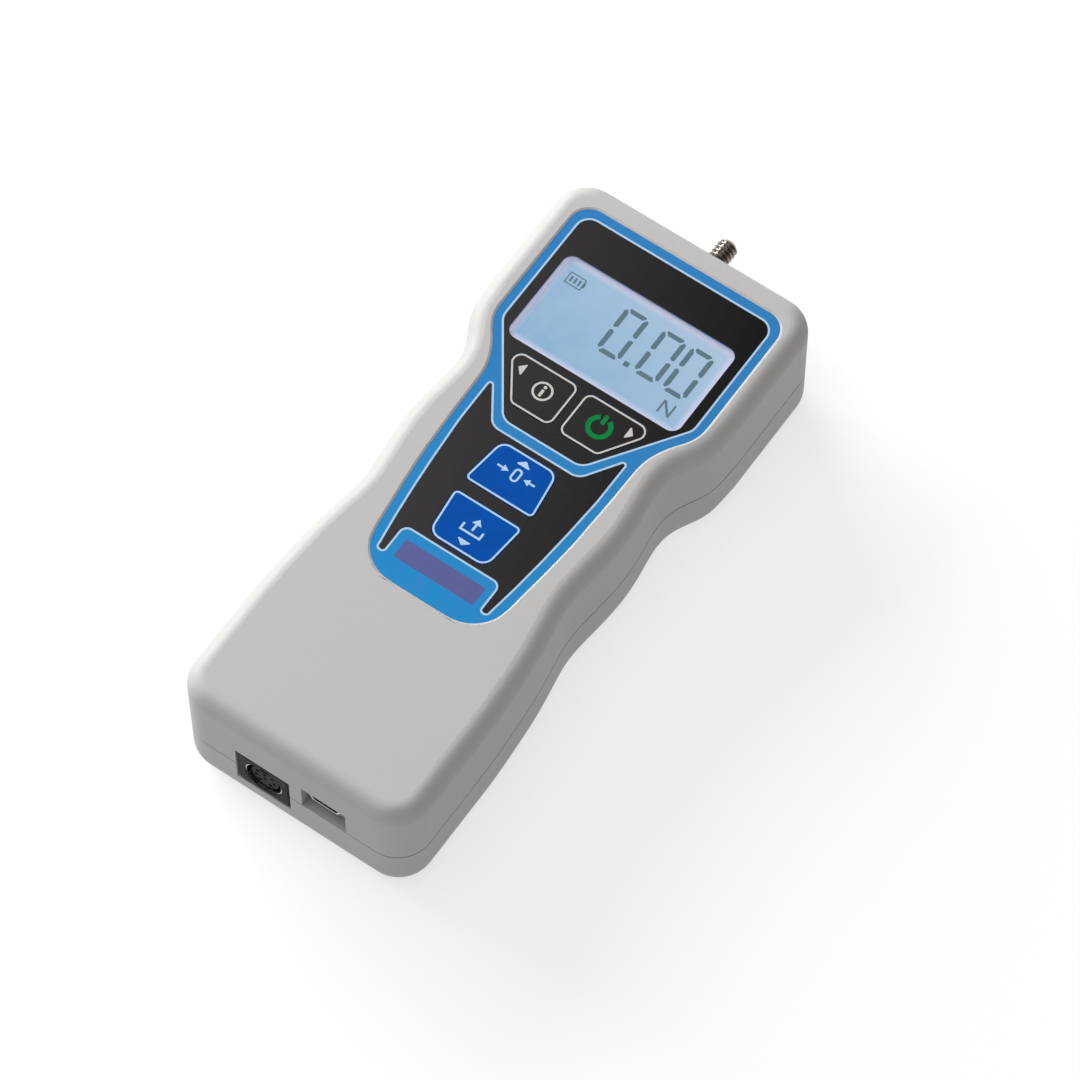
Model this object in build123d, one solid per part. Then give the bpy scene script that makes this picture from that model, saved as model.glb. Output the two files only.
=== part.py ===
from build123d import *
import math
import os

# Hand-held digital force gauge lying on its back.
# Frame: X across the body, Y along the measuring shaft (shaft end at +Y),
# Z up out of the face.  Origin: centre of the flat back.  Millimetres.

# ---- housing ----
BODY_L = 150.0          # housing length, end wall to end wall
HALF_L = BODY_L / 2
DEPTH = 33.0            # back to face
PART_Z = 14.0           # height of the joint between the shells
SEAM = 0.35             # shadow groove at the joint
SEAM_IN = 0.5
HEAD_HW = 31.9          # half width of the head
GRIP_HW = 29.7          # half width of the lower block
CORNER_R = 8.2
FACE_R = 4.0            # rounding of the face edge
BACK_R = 6.0            # rounding of the back edge
WALL = 2.2
ROOF_Z = DEPTH - WALL   # underside of the face
# half-width of the outline between the lower block and the head
SIDE = [(29.7, -47.0), (29.2, -35.5), (28.4, -26.0), (27.25, -18.5),
        (26.45, -11.8), (26.75, -6.5), (27.45, 0.0), (27.8, 6.5),
        (27.3, 13.5), (26.5, 20.4), (26.95, 25.2), (28.9, 29.6),
        (30.9, 34.0), (31.65, 39.0), (31.9, 45.0)]

# ---- face overlay (print centre sits slightly right of the body centre) ----
LX = 0.6
OVER_T = 0.3
OVER_Z = DEPTH - 0.2    # top of the overlay, in a shallow recess
OVER_TOP, OVER_HW, OVER_R = 69.25, 27.0, 5.25
OVER_HALF = [
    (27.0, 38.6), (26.84, 36.12), (26.16, 33.82), (24.98, 31.75),
    (23.53, 29.75), (22.35, 27.79), (21.42, 25.83), (20.79, 23.89),
    (20.45, 21.94), (20.3, 19.98), (20.2, 15.99), (20.1, 11.99),
    (19.95, 7.98), (19.75, 3.98), (19.6, -0.03), (19.25, -4.04),
    (18.85, -8.05), (18.4, -12.05), (17.9, -16.05), (17.45, -20.06),
    (17.09, -22.1), (16.52, -24.15), (15.99, -25.23), (15.25, -26.28),
    (14.31, -27.33), (12.99, -28.38), (11.06, -29.42), (8.46, -30.05)]
OVER_BOT = -30.2
WIN_HW, WIN_Y0, WIN_Y1, WIN_R = 21.9, 32.7, 56.75, 2.4

# ---- keys ----
KEY_TOP = OVER_Z + 0.05
KEY_TRAVEL = 0.4
KEY_GAP = 0.15
FLANGE_Z0, FLANGE_Z1 = 30.1, 30.7

# ---- board and display stack ----
BOARD_Z0, BOARD_T = 24.4, 1.6
BOARD_Z1 = BOARD_Z0 + BOARD_T
LCD_Y0, LCD_Y1, LCD_HW = 32.2, 60.0, 23.4

# ---- measuring shaft ----
SHAFT_Z = PART_Z
SHANK_R = 3.8
ROD_R = 3.0
SHANK_END = 81.7
THREAD_R = 2.415        # No. 10-24: 4.83 mm over the crests
THREAD_PITCH = 1.058
THREAD_DEPTH = 0.56
TIP_Y = 87.6

# ---- sockets in the lower end wall ----
DIN_X0, DIN_X1, DIN_Z0, DIN_Z1 = -13.55, -0.55, 8.5, 19.8
DIN_GAP = 0.4            # dark gap round the block in its opening
DIN_CX, DIN_CZ = -7.05, 14.1
USB_CX, USB_CZ, USB_W, USB_H = 8.3, 19.8, 7.7, 3.9
USB_Y = -74.0            # mouth of the socket
REC_Y = -72.6            # back of the recess round it
REC_X0, REC_X1, REC_Z1 = 3.0, 14.2, 22.1
CONN_Y0, CONN_Y1, CONN_Z0, CONN_Z1 = -62.7, -61.1, 5.2, 23.2

# ---- fastening points ----
SHELL_SCREWS = [(-25.0, 67.0), (25.0, 67.0), (-22.8, -66.8), (22.8, -66.8)]
BOARD_SCREWS = [(-18.5, 6.0), (18.5, 6.0), (-18.5, -52.0), (18.5, -52.0),
                (-14.0, 66.2), (14.0, 66.2)]
CELL_SCREWS = [(-14.0, 27.5), (14.0, 27.5), (-14.0, 54.5), (14.0, 54.5)]
MOUNT_DX, MOUNT_DY, MOUNT_CY = 32.0, 50.0, -10.0
MOUNTS = [(sx * MOUNT_DX / 2, MOUNT_CY + sy * MOUNT_DY / 2)
          for sx in (-1, 1) for sy in (-1, 1)]


def box(x0, x1, y0, y1, z0, z1):
    return Pos((x0 + x1) / 2, (y0 + y1) / 2, (z0 + z1) / 2) * Box(
        x1 - x0, y1 - y0, z1 - z0)


def cyl(x, y, z0, z1, r):
    return Pos(x, y, (z0 + z1) / 2) * Cylinder(r, z1 - z0)


def ycyl(x, z, y0, y1, r):
    return Pos(x, (y0 + y1) / 2, z) * Rot(90, 0, 0) * Cylinder(r, y1 - y0)


def prism(face, z0, z1):
    return extrude(Pos(0, 0, z0) * face, z1 - z0)


_base = Spline([(x, y) for x, y in SIDE], tangents=[(0, 1), (0, 1)])


def body_face(inset):
    """Outline of the housing moved inwards by inset."""
    pts = []
    n = 28
    for i in range(n + 1):
        t = i / n
        p = _base.position_at(t)
        d = _base.tangent_at(t)
        pts.append((p.X - inset * d.Y, p.Y + inset * d.X))
    pts[0] = (GRIP_HW - inset, SIDE[0][1])
    pts[-1] = (HEAD_HW - inset, SIDE[-1][1])
    r = CORNER_R - inset
    yb, yt = -HALF_L + inset, HALF_L - inset
    gx, hx = GRIP_HW - inset, HEAD_HW - inset
    k = math.sqrt(0.5)
    edges = [Line((0, yb), (gx - r, yb)),
             ThreePointArc((gx - r, yb),
                           (gx - r + r * k, yb + r - r * k), (gx, yb + r)),
             Line((gx, yb + r), pts[0]),
             Spline(pts, tangents=[(0, 1), (0, 1)]),
             Line(pts[-1], (hx, yt - r)),
             ThreePointArc((hx, yt - r),
                           (hx - r + r * k, yt - r + r * k), (hx - r, yt)),
             Line((hx - r, yt), (0, yt))]
    right = make_face(Wire(edges + [Line((0, yt), (0, yb))]))
    return right + mirror(right, Plane.YZ)


def poly(points, radii, dx=0.0, grow=0.0):
    """Rounded polygon, moved by dx and grown by grow."""
    f = make_face(Polyline([(x, y) for x, y in points] + [points[0]]))
    vs = [min(f.vertices(), key=lambda v: (v.X - x) ** 2 + (v.Y - y) ** 2)
          for x, y in points]
    for r in sorted(set(radii)):
        if r > 0:
            sel = [min(f.vertices(),
                       key=lambda v: (v.X - x) ** 2 + (v.Y - y) ** 2)
                   for (x, y), q in zip(points, radii) if q == r]
            f = fillet(sel, r)
    if grow:
        f = offset(f, grow, kind=Kind.ARC)
    return Pos(dx, 0) * f


def overlay_face():
    k = math.sqrt(0.5)
    cx, cy, r = OVER_HW - OVER_R, OVER_TOP - OVER_R, OVER_R
    x0, y0 = OVER_HALF[0]
    f = make_face(Wire([
        Line((0, cy + r), (cx, cy + r)),
        ThreePointArc((cx, cy + r), (cx + r * k, cy + r * k), (cx + r, cy)),
        Line((cx + r, cy), (x0, y0)),
        Spline(OVER_HALF + [(5.0, OVER_BOT)], tangents=[(0, -1), (-1, 0)]),
        Line((5.0, OVER_BOT), (0, OVER_BOT)),
        Line((0, OVER_BOT), (0, cy + r))]))
    return Pos(LX, 0) * (f + mirror(f, Plane.YZ))


KEYS = {
    "info_key": ([(-18.96, 30.85), (-11.16, 19.15), (-0.95, 19.15),
                  (-0.95, 30.85)], (2.3, 1.8, 2.0, 2.0)),
    "power_key": ([(18.96, 30.85), (11.16, 19.15), (0.95, 19.15),
                   (0.95, 30.85)], (2.3, 1.8, 2.0, 2.0)),
    "zero_key": ([(-7.16, 10.97), (-8.73, -0.97), (8.73, -0.97),
                  (7.16, 10.97)], (2.7, 1.2, 1.2, 2.7)),
    "send_key": ([(-8.6, -4.08), (-7.4, -15.97), (7.4, -15.97),
                  (8.6, -4.08)], (1.2, 2.9, 2.9, 1.2)),
}
KEY_AT = {"info_key": (-7.6, 25.2), "power_key": (7.6, 25.2),
          "zero_key": (0.0, 5.2), "send_key": (0.0, -9.9)}


def key_face(name, grow=0.0):
    pts, rad = KEYS[name]
    f = poly(pts, rad, LX, grow)
    return f & Pos(LX, -10 + 31.1 - 21.1) * Rectangle(80, 2 * 31.1)


def window_face(grow=0.0):
    return Pos(LX, (WIN_Y0 + WIN_Y1) / 2) * RectangleRounded(
        2 * (WIN_HW + grow), WIN_Y1 - WIN_Y0 + 2 * grow, WIN_R + grow)


# ------------------------------------------------------------------ shells
outer0 = body_face(0)
outer_seam = body_face(SEAM_IN)
inner = body_face(WALL)

front = prism(outer0, PART_Z + SEAM, DEPTH)
front = fillet(front.edges().filter_by_position(Axis.Z, DEPTH - 0.01,
                                                DEPTH + 0.01), FACE_R)
front += prism(outer_seam, PART_Z, PART_Z + SEAM)
cav_f = prism(inner, PART_Z - 1, ROOF_Z)
cav_f = fillet(cav_f.edges().filter_by_position(Axis.Z, ROOF_Z - 0.01,
                                                ROOF_Z + 0.01), 2.2)
front -= cav_f

rear = prism(outer0, 0, PART_Z)
rear = fillet(rear.edges().filter_by_position(Axis.Z, -0.01, 0.01), BACK_R)
cav_r = prism(inner, WALL, PART_Z + 1)
cav_r = fillet(cav_r.edges().filter_by_position(Axis.Z, WALL - 0.01,
                                                WALL + 0.01), 2.6)
rear -= cav_r
lip = prism(body_face(2.0), 10.4, 13.9) + prism(body_face(2.25), 13.9, 15.8)
lip -= prism(body_face(3.2), 10, 16)
rear += lip

# saddles that hold the shaft bush, one half in each shell
BUSH_Y0, BUSH_Y1, BUSH_R = 69.0, 72.7, 5.8
rear -= box(-8.0, 8.0, 68.0, 72.8, 10.0, 16.0)
rear += box(-7.6, 7.6, 68.4, 73.2, 1.8, PART_Z)
front += box(-7.6, 7.6, 68.4, 73.2, PART_Z, ROOF_Z + 0.3)
bush_pocket = ycyl(0, SHAFT_Z, BUSH_Y0, BUSH_Y1, BUSH_R)
shaft_hole = ycyl(0, SHAFT_Z, 66.0, 77.0, SHANK_R + 0.3)
rear = rear - bush_pocket - shaft_hole
front = front - bush_pocket - shaft_hole

# lower end: socket openings, connector recess
rear -= box(-14.4, 15.6, -73.0, -70.0, 13.9, 16.5)
front += box(REC_X0 - 1.2, REC_X1 + 1.2, -73.2, -70.8, PART_Z, REC_Z1 + 1.4)
front -= box(REC_X0, REC_X1, -76, REC_Y, PART_Z - 1, REC_Z1)
front -= box(USB_CX - USB_W / 2 - 0.1, USB_CX + USB_W / 2 + 0.1, -76, -70,
             USB_CZ - USB_H / 2 - 0.1, USB_CZ + USB_H / 2 + 0.1)
din_cut = box(DIN_X0 - DIN_GAP, DIN_X1 + DIN_GAP, -76, -70,
              DIN_Z0 - DIN_GAP, DIN_Z1 + DIN_GAP)
front -= din_cut
rear -= din_cut

# screw pillars
for x, y in SHELL_SCREWS:
    front += cyl(x, y, PART_Z, ROOF_Z + 0.3, 3.2)
    rear += cyl(x, y, WALL - 0.4, PART_Z, 3.4)
for x, y in SHELL_SCREWS:
    front -= cyl(x, y, PART_Z - 1, 24.0, 1.25)
    rear -= cyl(x, y, -1, 20, 1.6)
    rear -= cyl(x, y, -1, 3.4, 2.9)
for x, y in BOARD_SCREWS:
    front += cyl(x, y, BOARD_Z1, ROOF_Z + 0.3, 2.4)
    front -= cyl(x, y, BOARD_Z1 - 1, 29.6, 1.0)
# slotted ribs that hold the top edge of the connector board
for sx in (-1, 1):
    front += box(sx * 17.3 - 1.2, sx * 17.3 + 1.2, -64.2, -59.6, 20.6,
                 ROOF_Z + 0.3)
    front -= box(sx * 17.3 - 1.5, sx * 17.3 + 1.5, CONN_Y0, CONN_Y1, 20.0,
                 CONN_Z1)

# face: overlay recess, display opening, key openings
front -= prism(overlay_face(), OVER_Z - OVER_T, DEPTH + 1)
front -= box(LX - LCD_HW - 0.1, LX + LCD_HW + 0.1, LCD_Y0 - 0.1, LCD_Y1 + 0.1,
             ROOF_Z - 1, DEPTH)
for k in KEYS:
    front -= prism(key_face(k, 0.2), ROOF_Z - 1, DEPTH)

# back: mounting bosses, load cell stand-offs
for x, y in MOUNTS:
    rear += cyl(x, y, 1.8, 6.5, 4.2)
for x, y in MOUNTS:
    rear -= cyl(x, y, -1, 6.1, 2.8)
for x, y in CELL_SCREWS:
    rear += cyl(x, y, 1.8, 4.8, 3.2)
for x, y in CELL_SCREWS:
    rear -= cyl(x, y, 2.6, 6, 1.5)

# ------------------------------------------------------------- face parts
overlay = prism(overlay_face(), OVER_Z - OVER_T, OVER_Z)
overlay -= prism(window_face(0.0), DEPTH - 2, DEPTH + 1)
for k in KEYS:
    overlay -= prism(key_face(k, KEY_GAP), DEPTH - 2, DEPTH + 1)

PANE_Z = OVER_Z - OVER_T
window = box(LX - LCD_HW, LX + LCD_HW, LCD_Y0, LCD_Y1, PANE_Z - 0.45, PANE_Z)
window += prism(window_face(-0.05), PANE_Z, OVER_Z - 0.03)

G1 = PANE_Z - 0.5       # top of the front display glass
lcd_glass = box(LX - LCD_HW, LX + LCD_HW, LCD_Y0, LCD_Y1, G1 - 0.75, G1)
lcd_rear = box(LX - LCD_HW, LX + LCD_HW, LCD_Y0, 57.2, G1 - 1.6, G1 - 0.8)
backlight = box(LX - LCD_HW, LX + LCD_HW, LCD_Y0, 57.2, G1 - 4.1, G1 - 1.65)
backlight = fillet(backlight.edges().filter_by(Axis.Z), 0.6)
lcd_frame = box(LX - 25.0, LX + 25.0, 31.3, 61.5, BOARD_Z1 + 0.02, G1 - 1.35)
lcd_frame -= box(LX - LCD_HW - 0.1, LX + LCD_HW + 0.1, LCD_Y0 - 0.1,
                 LCD_Y1 + 0.1, G1 - 4.15, 32)
lcd_frame -= box(LX - 20.6, LX + 20.6, 57.4, 59.8, 25, 32)
lcd_frame -= box(LX - 18.0, LX + 18.0, 35.0, 54.0, 25, 32)
zebra = box(LX - 20.4, LX + 20.4, 57.6, 59.6, BOARD_Z1, G1 - 0.75)

keys = {}
for k in KEYS:
    body = prism(key_face(k), FLANGE_Z1, KEY_TOP)
    body = fillet(body.edges().filter_by_position(
        Axis.Z, KEY_TOP - 0.01, KEY_TOP + 0.01), 0.12)
    body += prism(key_face(k, 0.6), FLANGE_Z0, FLANGE_Z1)
    kx, ky = KEY_AT[k]
    body += cyl(kx + LX, ky, 30.05, 30.4, 1.5)
    keys[k] = body

# ------------------------------------------------------------- main board
board = box(-24.4, 24.4, 27.5, 62.0, BOARD_Z0, BOARD_Z1)
board += box(-21.4, 21.4, -58.0, 28.0, BOARD_Z0, BOARD_Z1)
board += box(-19.5, 19.5, 60.0, 67.9, BOARD_Z0, BOARD_Z1)
for x, y in BOARD_SCREWS:
    board -= cyl(x, y, 20, 30, 1.1)


def chip(x, y, w, h, t, pins, z=BOARD_Z1):
    """Package with gull-wing leads on its two long sides."""
    c = box(x - w / 2, x + w / 2, y - h / 2, y + h / 2, z + 0.1, z + t)
    c = chamfer(c.edges().group_by(Axis.Z)[-1], 0.15)
    for i in range(pins):
        yy = y - h / 2 + (i + 0.5) * h / pins
        c += box(x - w / 2 - 0.9, x + w / 2 + 0.9, yy - 0.16, yy + 0.16,
                 z, z + 0.35)
    return c


chips = [chip(0, -30, 9, 10, 1.5, 10), chip(-13, -24, 5, 6, 1.5, 5),
         chip(12, -26, 5, 5, 1.4, 4), chip(12, -38, 4, 5, 1.3, 4)]
crystal = fillet(box(-15.5, -9.5, -38.5, -35.5, BOARD_Z1, BOARD_Z1 + 1.8)
                 .edges().filter_by(Axis.Z), 1.2)
header = box(-6, 6, -47.5, -43.5, BOARD_Z1, BOARD_Z1 + 3.2)
header -= box(-5.3, 5.3, -46.8, -44.2, BOARD_Z1 + 1.0, BOARD_Z1 + 4)
chips += [crystal, header]
board_parts = Compound(children=[Part(c.wrapped) for c in chips])

buzzer = cyl(12.0, -46.5, BOARD_Z1, BOARD_Z1 + 3.6, 5.0)
buzzer -= cyl(12.0, -46.5, BOARD_Z1 + 2.6, BOARD_Z1 + 4, 0.9)
buzzer = fillet(buzzer.edges().filter_by_position(
    Axis.Z, BOARD_Z1 + 3.59, BOARD_Z1 + 3.61).sort_by(SortBy.LENGTH)[-1], 0.4)

sw = []
for k, (kx, ky) in KEY_AT.items():
    b = box(kx + LX - 3, kx + LX + 3, ky - 3, ky + 3, BOARD_Z1, 28.9)
    b = chamfer(b.edges().group_by(Axis.Z)[-1], 0.3)
    b += cyl(kx + LX, ky, 28.8, 29.6, 1.7)
    for sx in (-1, 1):
        for sy in (-1, 1):
            b += box(kx + LX + sx * 3.3 - 0.6, kx + LX + sx * 3.3 + 0.6,
                     ky + sy * 2.2 - 0.35, ky + sy * 2.2 + 0.35,
                     BOARD_Z1, BOARD_Z1 + 0.4)
    sw.append(b)
switches = Compound(children=[Part(b.wrapped) for b in sw])

# ---------------------------------------------------------------- sockets
din = box(DIN_X0, DIN_X1, -74.9, -62.7, DIN_Z0, DIN_Z1)
din = chamfer(din.edges().filter_by(Axis.Y), 0.5)
din = chamfer(din.faces().sort_by(Axis.Y)[0].outer_wire().edges(), 0.35)
din -= ycyl(DIN_CX, DIN_CZ, -76, -66.5, 4.75)
din_shield = ycyl(DIN_CX, DIN_CZ, -74.7, -66.5, 4.75) - ycyl(
    DIN_CX, DIN_CZ, -76, -67.0, 4.45)
din_core = ycyl(DIN_CX, DIN_CZ, -74.3, -67.0, 3.45)
PIN_AT = [(-1.3, -2.15), (1.3, -2.15), (-2.3, -0.6), (0.0, -0.6), (2.3, -0.6),
          (-1.9, 1.15), (0.0, 1.15), (1.9, 1.15)]
din_core -= box(DIN_CX - 1.1, DIN_CX + 1.1, -75, -69.0, DIN_CZ + 2.1,
                DIN_CZ + 3.0)
for px, pz in PIN_AT:
    din_core -= ycyl(DIN_CX + px, DIN_CZ + pz, -75, -67.6, 0.42)
pins = [ycyl(DIN_CX + px, DIN_CZ + pz, -73.6, -67.6, 0.42)
        - ycyl(DIN_CX + px, DIN_CZ + pz, -73.7, -69.0, 0.26)
        for px, pz in PIN_AT]
din_contacts = Compound(children=[Part(p.wrapped) for p in pins])

ux0, ux1 = USB_CX - USB_W / 2, USB_CX + USB_W / 2
uz0, uz1 = USB_CZ - USB_H / 2, USB_CZ + USB_H / 2


def usb_profile(g):
    """Five-sided mouth of the small USB socket, narrower at the bottom."""
    pts = [(ux0 + g, uz1 - g), (ux1 - g, uz1 - g), (ux1 - g, uz0 + 1.5),
           (ux1 - 0.75 - g, uz0 + g), (ux0 + 0.75 + g, uz0 + g),
           (ux0 + g, uz0 + 1.5)]
    return make_face(Polyline(pts + [pts[0]]))


def yprism(face, y0, y1):
    # face drawn in X,Z is laid into the XZ plane
    return extrude(Plane(origin=(0, y0, 0), x_dir=(1, 0, 0),
                         z_dir=(0, -1, 0)) * face, -(y1 - y0))


usb_shell = yprism(usb_profile(0), USB_Y, -62.7)
usb_shell -= yprism(usb_profile(0.35), USB_Y - 1, -63.6)
usb_tongue = box(USB_CX - 1.9, USB_CX + 1.9, USB_Y + 1.2, -63.6, USB_CZ - 0.15,
                 USB_CZ + 0.75)
contacts = []
for i in range(5):
    cx = USB_CX + (i - 2) * 0.72
    usb_tongue -= box(cx - 0.18, cx + 0.18, USB_Y + 1.0, -64.4, USB_CZ - 0.3,
                      USB_CZ + 0.05)
    contacts.append(box(cx - 0.18, cx + 0.18, USB_Y + 1.3, -64.4, USB_CZ - 0.15,
                        USB_CZ + 0.05))
usb_contacts = Compound(children=[Part(c.wrapped) for c in contacts])
conn_board = box(-17.5, 17.5, CONN_Y0, CONN_Y1, CONN_Z0, CONN_Z1)

# ------------------------------------------------------------ force train
cell = box(-17, 17, 24, 58, 6.9, 21.1)
cell = fillet(cell.edges().filter_by(Axis.Z), 1.5)
win = box(-11, 11, 31, 51, 6, 22)
win = fillet(win.edges().filter_by(Axis.Z), 2.5)
cell -= win
for sx in (-1, 1):
    for yy in (33.0, 49.0):
        cell -= cyl(sx * 12.6, yy, 6, 22, 2.6)
cell -= ycyl(0, SHAFT_Z, 50, 60, ROD_R + 0.1)
for sx in (-1, 1):
    cell -= ycyl(sx * 3.6, SHAFT_Z, 20, 32, 1.5)
for x, y in CELL_SCREWS:
    cell -= cyl(x, y, 5, 23, 1.55)

stops = []
for sx in (-1, 1):
    s = ycyl(sx * 3.6, SHAFT_Z, 21.4, 35.65, 1.5)
    s += ycyl(sx * 3.6, SHAFT_Z, 21.4, 24.0, 2.7)
    s -= Pos(sx * 3.6, 21.9, SHAFT_Z) * Rot(90, 0, 0) * extrude(
        RegularPolygon(1.3, 6), 1.6, both=True)
    stops.append(s)
overload_stops = Compound(children=[Part(s.wrapped) for s in stops])

carrier = box(-6.5, 6.5, 36.0, 46.0, 8.4, 19.6)
carrier = fillet(carrier.edges().filter_by(Axis.Z), 1.0)
carrier += ycyl(0, SHAFT_Z, 45.9, 50.65, 4.2)
carrier -= ycyl(0, SHAFT_Z, 38.0, 52.0, ROD_R)

bracket = box(-19, 19, 20.2, 61.8, 4.85, 6.85)
bracket = fillet(bracket.edges().filter_by(Axis.Z), 3)
bracket -= box(-9, 9, 32, 50, 4, 8)
for x, y in CELL_SCREWS:
    bracket -= cyl(x, y, 4, 8, 1.55)


def socket_screw(x, y, z_seat, z_end, r, head_r, head_h, up=1):
    """Cap screw: head outside z_seat, shank to z_end; up is head side."""
    s = cyl(x, y, min(z_seat, z_end), max(z_seat, z_end), r)
    h0, h1 = (z_seat, z_seat + head_h) if up > 0 else (z_seat - head_h, z_seat)
    h = cyl(x, y, h0, h1, head_r)
    h = chamfer(h.edges().group_by(Axis.Z)[-1 if up > 0 else 0], 0.2)
    s += h
    zc = h1 if up > 0 else h0
    s -= Pos(x, y, zc) * extrude(RegularPolygon(head_r * 0.5, 6),
                                 head_h * 0.6, both=True)
    return s


cell_screws = Compound(children=[Part(socket_screw(
    x, y, 21.1, 3.0, 1.5, 2.7, 2.4).wrapped) for x, y in CELL_SCREWS])
shell_screws = Compound(children=[Part(socket_screw(
    x, y, 3.4, 22.0, 1.25, 2.7, 2.2, -1).wrapped) for x, y in SHELL_SCREWS])
board_screws = Compound(children=[Part(socket_screw(
    x, y, BOARD_Z0, 29.2, 1.0, 1.9, 1.4, -1).wrapped)
    for x, y in BOARD_SCREWS])

# threaded brass inserts for a stand or fixture
ins = []
for x, y in MOUNTS:
    b = cyl(x, y, 0.3, 6.0, 2.8)
    b -= cyl(x, y, 0, 7, 1.65)
    for zz in (1.8, 3.1, 4.4):
        b -= cyl(x, y, zz, zz + 0.45, 3.2) - cyl(x, y, zz - 1, zz + 2, 2.55)
    ins.append(b)
inserts = Compound(children=[Part(b.wrapped) for b in ins])

bush = ycyl(0, SHAFT_Z, BUSH_Y0 + 0.05, BUSH_Y1 - 0.05, BUSH_R - 0.02)
bush -= ycyl(0, SHAFT_Z, 60, 80, SHANK_R + 0.08)
for yy in (70.2, 71.4):
    bush -= ycyl(0, SHAFT_Z, yy, yy + 0.3, 5.9) - ycyl(0, SHAFT_Z, 60, 80, 5.4)

# measuring shaft, drawn as a half section and turned about its axis
prof = [(0, 38.1), (ROD_R, 38.1), (ROD_R, 60.2), (SHANK_R - 0.3, 60.2),
        (SHANK_R, 60.5), (SHANK_R, SHANK_END - 0.4), (SHANK_R - 0.4, SHANK_END),
        (THREAD_R - THREAD_DEPTH, SHANK_END)]
y = SHANK_END + 0.25
while y + THREAD_PITCH < TIP_Y - 0.3:
    prof += [(THREAD_R - THREAD_DEPTH, y),
             (THREAD_R, y + THREAD_PITCH * 0.44),
             (THREAD_R, y + THREAD_PITCH * 0.56)]
    y += THREAD_PITCH
prof += [(THREAD_R - THREAD_DEPTH, y), (THREAD_R - THREAD_DEPTH, TIP_Y - 0.35),
         (THREAD_R - THREAD_DEPTH - 0.35, TIP_Y), (0, TIP_Y)]
half = make_face(Polyline([(a, b) for a, b in prof] + [prof[0]]))
shaft = Pos(0, 0, SHAFT_Z) * revolve(half, Axis.Y)
# two flats on the shank take a spanner
for sx in (-1, 1):
    shaft -= box(sx * 3.3 - 0.5 if sx < 0 else 3.3, -3.3 if sx < 0 else 4.2,
                 62.0, 66.0, SHAFT_Z - 5, SHAFT_Z + 5)

# ---------------------------------------------------------------- battery
CELL_R, CELL_Z = 5.2, 12.45
cells = []
for bx in (-16.2, -5.4, 5.4, 16.2):
    c = ycyl(bx, CELL_Z, -56.0, -12.6, CELL_R)
    c = fillet(c.edges(), 0.5)
    c += ycyl(bx, CELL_Z, -12.7, -11.6, 1.9)
    cells.append(c)
batteries = Compound(children=[Part(c.wrapped) for c in cells])
tray = box(-22.4, 22.4, -57.6, -10.0, 6.55, 13.4)
tray -= box(-21.5, 21.5, -56.6, -11.0, 7.2, 15)
tray = tray - box(-30, 30, -40, -28, 10, 15)
foam = box(-20, 20, -48, -20, CELL_Z + CELL_R + 0.02, 24.3)
foam = fillet(foam.edges().filter_by(Axis.Z), 2)

parts = {
    "front_shell": front, "rear_shell": rear, "face_overlay": overlay,
    "display_window": window, "lcd_front_glass": lcd_glass,
    "lcd_rear_glass": lcd_rear, "lcd_backlight": backlight,
    "lcd_frame": lcd_frame, "lcd_contact_strip": zebra,
    "info_key": keys["info_key"], "power_key": keys["power_key"],
    "zero_key": keys["zero_key"], "send_key": keys["send_key"],
    "tactile_switches": switches, "main_board": board,
    "board_components": board_parts, "buzzer": buzzer,
    "din_socket_housing": din, "din_socket_shield": din_shield,
    "din_socket_core": din_core, "din_socket_contacts": din_contacts,
    "usb_socket_shell": usb_shell, "usb_socket_tongue": usb_tongue,
    "usb_socket_contacts": usb_contacts, "connector_board": conn_board,
    "load_cell": cell, "load_cell_bracket": bracket,
    "load_cell_screws": cell_screws, "overload_stops": overload_stops,
    "shaft_carrier": carrier, "shaft_bush": bush, "measuring_shaft": shaft,
    "battery_cells": batteries, "battery_tray": tray, "battery_pad": foam,
    "shell_screws": shell_screws, "board_screws": board_screws,
    "mounting_inserts": inserts,
}
os.makedirs("parts", exist_ok=True)
for name, shape in parts.items():
    export_step(shape, "parts/" + name + ".step")
    bb = shape.bounding_box()
    print(name, len(shape.solids()), round(shape.volume, 1),
          [round(v, 2) for v in (bb.min.X, bb.max.X, bb.min.Y, bb.max.Y,
                                 bb.min.Z, bb.max.Z)])
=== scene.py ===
import bpy
import math
from mathutils import Matrix, Vector, geometry


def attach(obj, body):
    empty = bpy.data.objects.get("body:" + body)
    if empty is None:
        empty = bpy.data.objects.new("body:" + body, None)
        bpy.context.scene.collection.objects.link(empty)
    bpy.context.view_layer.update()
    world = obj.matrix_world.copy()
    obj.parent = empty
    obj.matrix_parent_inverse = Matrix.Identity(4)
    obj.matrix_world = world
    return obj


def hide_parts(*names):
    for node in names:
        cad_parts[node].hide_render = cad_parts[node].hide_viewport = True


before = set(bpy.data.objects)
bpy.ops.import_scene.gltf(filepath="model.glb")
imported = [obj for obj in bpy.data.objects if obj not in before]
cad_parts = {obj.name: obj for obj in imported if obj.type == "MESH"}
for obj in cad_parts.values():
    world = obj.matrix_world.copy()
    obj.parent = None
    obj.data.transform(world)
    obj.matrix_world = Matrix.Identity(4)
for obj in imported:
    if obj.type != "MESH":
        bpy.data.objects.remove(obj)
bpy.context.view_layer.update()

MM = 0.001
LX = 0.6            # centre of the printed face, mm
Z_OVER = 32.8       # top of the printed overlay
Z_KEY = 32.85       # top of the keys
Z_GLASS = 32.0      # top of the display glass
Z_FACE = 33.0


def srgb(r, g, b):
    def lin(c):
        c /= 255.0
        return c / 12.92 if c <= 0.04045 else ((c + 0.055) / 1.055) ** 2.4
    return (lin(r), lin(g), lin(b), 1.0)


def shade(c, k):
    return (min(c[0] * k, 1.0), min(c[1] * k, 1.0), min(c[2] * k, 1.0), 1.0)


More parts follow.
